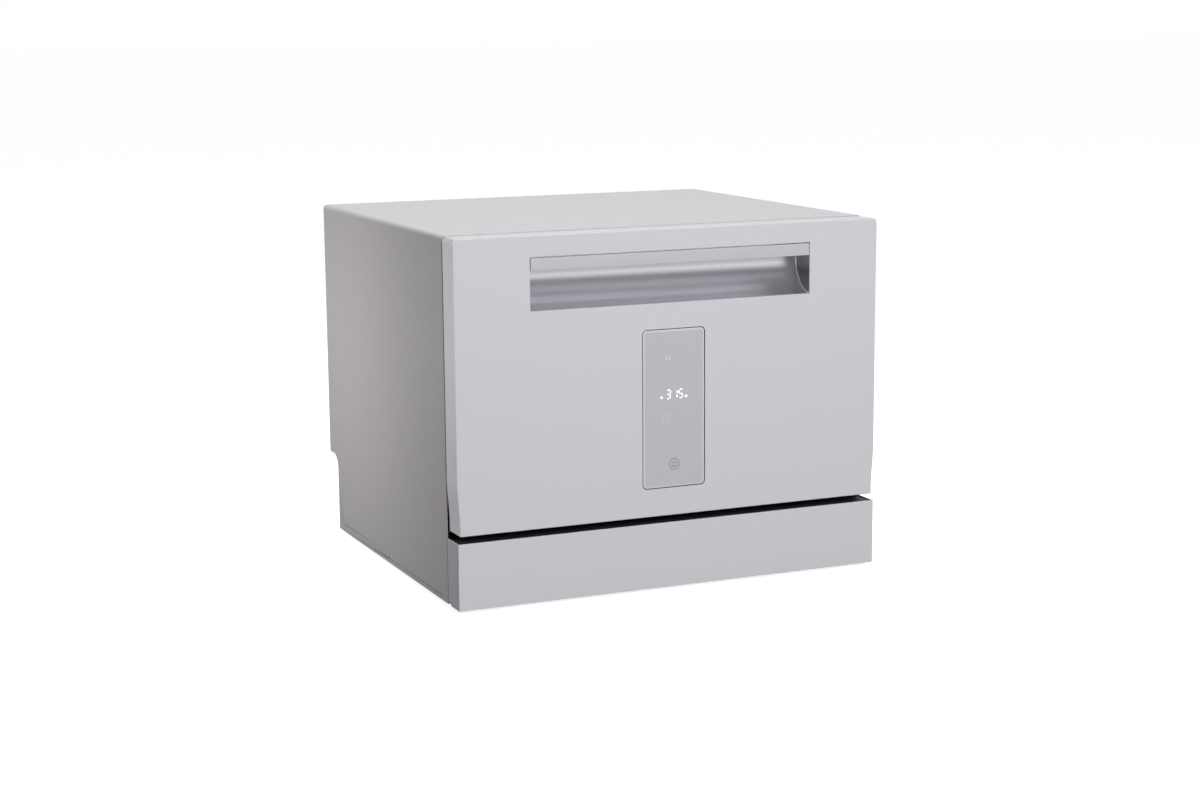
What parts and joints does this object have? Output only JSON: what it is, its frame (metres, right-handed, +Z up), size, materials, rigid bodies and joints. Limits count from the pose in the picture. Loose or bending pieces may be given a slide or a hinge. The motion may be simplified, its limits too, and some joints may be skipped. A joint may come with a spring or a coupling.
{
  "type": "countertop dishwasher",
  "caption": "Countertop dishwasher with a drop-down front door, grip recess, touch glass, plinth, stainless tub and roll-out dish rack with cutlery basket.",
  "frame": {"origin": "middle of the bounding box's footprint, on the worktop", "axes": "+X to the right as seen from the front, the door faces -Y, +Z up"},
  "size_m": [0.55, 0.5, 0.438],
  "materials": {
    "outer_casing": "satin silver paint",
    "rear_panel": "zinc-coated sheet",
    "base_pan": "black moulded plastic",
    "plinth": "satin silver paint",
    "tub": "bright steel",
    "tub_seal": "matt rubber",
    "rack_rails": "moulded",
    "latch_body": "moulded",
    "latch_pawl": "moulded",
    "hinge_brackets": "zinc plated",
    "hinge_pins": "turned",
    "door_springs": "spring steel",
    "door_skin": "satin silver paint",
    "grip_scoop": "brushed lengthwise",
    "grip_strip": "brushed lengthwise",
    "grip_ends": "moulded",
    "touch_glass": "silver back-printed touch glass",
    "control_case": "moulded",
    "control_board": "green circuit board",
    "door_liner": "bright steel",
    "door_strike": "stamped",
    "hinge_arms": "zinc plated",
    "door_screws": "pan head",
    "dispenser_body": "light grey",
    "dispenser_lid": "light grey",
    "lid_button": "dark grey",
    "rinse_cap": "blue grey",
    "dish_rack": "coated wire",
    "plate_tines": "coated wire",
    "cutlery_basket": "moulded",
    "cup_shelf": "moulded",
    "roller_front_left": "moulded",
    "roller_front_right": "moulded",
    "roller_rear_left": "moulded",
    "roller_rear_right": "moulded",
    "spray_arm": "moulded",
    "sump": "moulded",
    "filter_plate": "perforated",
    "filter_cup": "moulded with mesh",
    "salt_cap": "moulded",
    "softener_tank": "moulded",
    "wash_pump": "moulded",
    "wash_impeller": "moulded",
    "flow_heater": "steel tube",
    "drain_pump": "moulded",
    "drain_impeller": "moulded",
    "inlet_valve": "moulded",
    "inlet_pipe": "hose",
    "drain_pipe": "hose",
    "air_breaker": "moulded",
    "overflow_float": "foam",
    "float_switch": "moulded",
    "cord_gland": "moulded",
    "casing_screws": "countersunk",
    "rear_screws": "pan head",
    "foot_front_left": "moulded",
    "foot_front_right": "moulded",
    "foot_rear_left": "moulded",
    "foot_rear_right": "moulded"
  },
  "bodies": {
    "body": {"outer_casing": "outer_casing", "rear_panel": "rear_panel", "base_pan": "base_pan", "plinth": "plinth", "tub": "tub", "tub_seal": "tub_seal", "rack_rails": "rack_rails", "latch_body": "latch_body", "hinge_brackets": "hinge_brackets", "hinge_pins": "hinge_pins", "door_springs": "door_springs", "sump": "sump", "filter_plate": "filter_plate", "softener_tank": "softener_tank", "wash_pump": "wash_pump", "flow_heater": "flow_heater", "drain_pump": "drain_pump", "inlet_valve": "inlet_valve", "inlet_pipe": "inlet_pipe", "drain_pipe": "drain_pipe", "air_breaker": "air_breaker", "float_switch": "float_switch", "cord_gland": "cord_gland", "casing_screws": "casing_screws", "rear_screws": "rear_screws"},
    "door": {"door_skin": "door_skin", "grip_scoop": "grip_scoop", "grip_strip": "grip_strip", "grip_ends": "grip_ends", "touch_glass": "touch_glass", "control_case": "control_case", "control_board": "control_board", "door_liner": "door_liner", "door_strike": "door_strike", "hinge_arms": "hinge_arms", "door_screws": "door_screws", "dispenser_body": "dispenser_body"},
    "rack": {"dish_rack": "dish_rack", "plate_tines": "plate_tines"},
    "lid": {"dispenser_lid": "dispenser_lid"},
    "button": {"lid_button": "lid_button"},
    "rinse": {"rinse_cap": "rinse_cap"},
    "basket": {"cutlery_basket": "cutlery_basket"},
    "shelf": {"cup_shelf": "cup_shelf"},
    "wheel_fl": {"roller_front_left": "roller_front_left"},
    "wheel_fr": {"roller_front_right": "roller_front_right"},
    "wheel_rl": {"roller_rear_left": "roller_rear_left"},
    "wheel_rr": {"roller_rear_right": "roller_rear_right"},
    "arm": {"spray_arm": "spray_arm"},
    "filter": {"filter_cup": "filter_cup"},
    "salt": {"salt_cap": "salt_cap"},
    "wash_rotor": {"wash_impeller": "wash_impeller"},
    "drain_rotor": {"drain_impeller": "drain_impeller"},
    "float": {"overflow_float": "overflow_float"},
    "bolt": {"latch_pawl": "latch_pawl"},
    "foot_fl": {"foot_front_left": "foot_front_left"},
    "foot_fr": {"foot_front_right": "foot_front_right"},
    "foot_rl": {"foot_rear_left": "foot_rear_left"},
    "foot_rr": {"foot_rear_right": "foot_rear_right"}
  },
  "joints": [
    {"name": "door_hinge", "type": "hinge", "parent": "body", "child": "door", "pos_m": [0, -0.226, 0.129], "axis": [1, 0, 0], "range_deg": [0, 90], "deforming": ["door_springs"]},
    {"name": "rack_slide", "type": "slide", "parent": "body", "child": "rack", "axis": [0, -1, 0], "range_m": [0, 0.17]},
    {"name": "wheel_fl_spin", "type": "hinge", "parent": "rack", "child": "wheel_fl", "pos_m": [-0.22, -0.094, 0.1683], "axis": [1, 0, 0], "continuous": true},
    {"name": "wheel_fr_spin", "type": "hinge", "parent": "rack", "child": "wheel_fr", "pos_m": [0.22, -0.094, 0.1683], "axis": [1, 0, 0], "continuous": true},
    {"name": "wheel_rl_spin", "type": "hinge", "parent": "rack", "child": "wheel_rl", "pos_m": [-0.22, 0.12, 0.1683], "axis": [1, 0, 0], "continuous": true},
    {"name": "wheel_rr_spin", "type": "hinge", "parent": "rack", "child": "wheel_rr", "pos_m": [0.22, 0.12, 0.1683], "axis": [1, 0, 0], "continuous": true},
    {"name": "basket_lift", "type": "slide", "parent": "rack", "child": "basket", "axis": [0, 0, 1], "range_m": [0, 0.08]},
    {"name": "cup_shelf_fold", "type": "hinge", "parent": "rack", "child": "shelf", "pos_m": [0.205, 0.014, 0.2605], "axis": [0, 1, 0], "range_deg": [0, 88]},
    {"name": "lid_slide", "type": "slide", "parent": "door", "child": "lid", "axis": [0, 0, 1], "range_m": [0, 0.042]},
    {"name": "lid_button_press", "type": "slide", "parent": "door", "child": "button", "axis": [0, -1, 0], "range_m": [0, 0.003], "stiffness_N_per_m": 200, "springref_m": -0.002},
    {"name": "rinse_cap_turn", "type": "hinge", "parent": "door", "child": "rinse", "pos_m": [0.165, -0.199, 0.245], "axis": [0, 1, 0], "range_deg": [0, 90]},
    {"name": "spray_arm_spin", "type": "hinge", "parent": "body", "child": "arm", "pos_m": [0, 0, 0.138], "axis": [0, 0, 1], "continuous": true},
    {"name": "filter_twist", "type": "hinge", "parent": "body", "child": "filter", "pos_m": [0.072, -0.082, 0.126], "axis": [0, 0, 1], "range_deg": [0, 90]},
    {"name": "salt_cap_turn", "type": "hinge", "parent": "body", "child": "salt", "pos_m": [-0.125, -0.095, 0.126], "axis": [0, 0, 1], "range_deg": [0, 90]},
    {"name": "wash_pump_spin", "type": "hinge", "parent": "body", "child": "wash_rotor", "pos_m": [0.072, 0.006, 0.055], "axis": [0, 1, 0], "continuous": true},
    {"name": "drain_pump_spin", "type": "hinge", "parent": "body", "child": "drain_rotor", "pos_m": [0.13, -0.082, 0.041], "axis": [1, 0, 0], "continuous": true},
    {"name": "float_rise", "type": "slide", "parent": "body", "child": "float", "axis": [0, 0, 1], "range_m": [0, 0.008]},
    {"name": "lock_bolt_drop", "type": "slide", "parent": "body", "child": "bolt", "axis": [0, 0, -1], "range_m": [0, 0.0036], "stiffness_N_per_m": 150, "springref_m": -0.002},
    {"name": "foot_fl_turn", "type": "hinge", "parent": "body", "child": "foot_fl", "pos_m": [-0.23, -0.175, 0], "axis": [0, 0, 1], "continuous": true},
    {"name": "foot_fr_turn", "type": "hinge", "parent": "body", "child": "foot_fr", "pos_m": [0.23, -0.175, 0], "axis": [0, 0, 1], "continuous": true},
    {"name": "foot_rl_turn", "type": "hinge", "parent": "body", "child": "foot_rl", "pos_m": [-0.23, 0.176, 0], "axis": [0, 0, 1], "continuous": true},
    {"name": "foot_rr_turn", "type": "hinge", "parent": "body", "child": "foot_rr", "pos_m": [0.23, 0.176, 0], "axis": [0, 0, 1], "continuous": true}
  ],
  "couplings": [
    {"joint": "rack_slide", "follows": "door_hinge", "m_per_rad": 0.108},
    {"joint": "wheel_fl_spin", "follows": "door_hinge", "ratio": 9},
    {"joint": "wheel_fr_spin", "follows": "door_hinge", "ratio": 9},
    {"joint": "wheel_rl_spin", "follows": "door_hinge", "ratio": 9},
    {"joint": "wheel_rr_spin", "follows": "door_hinge", "ratio": 9}
  ]
}
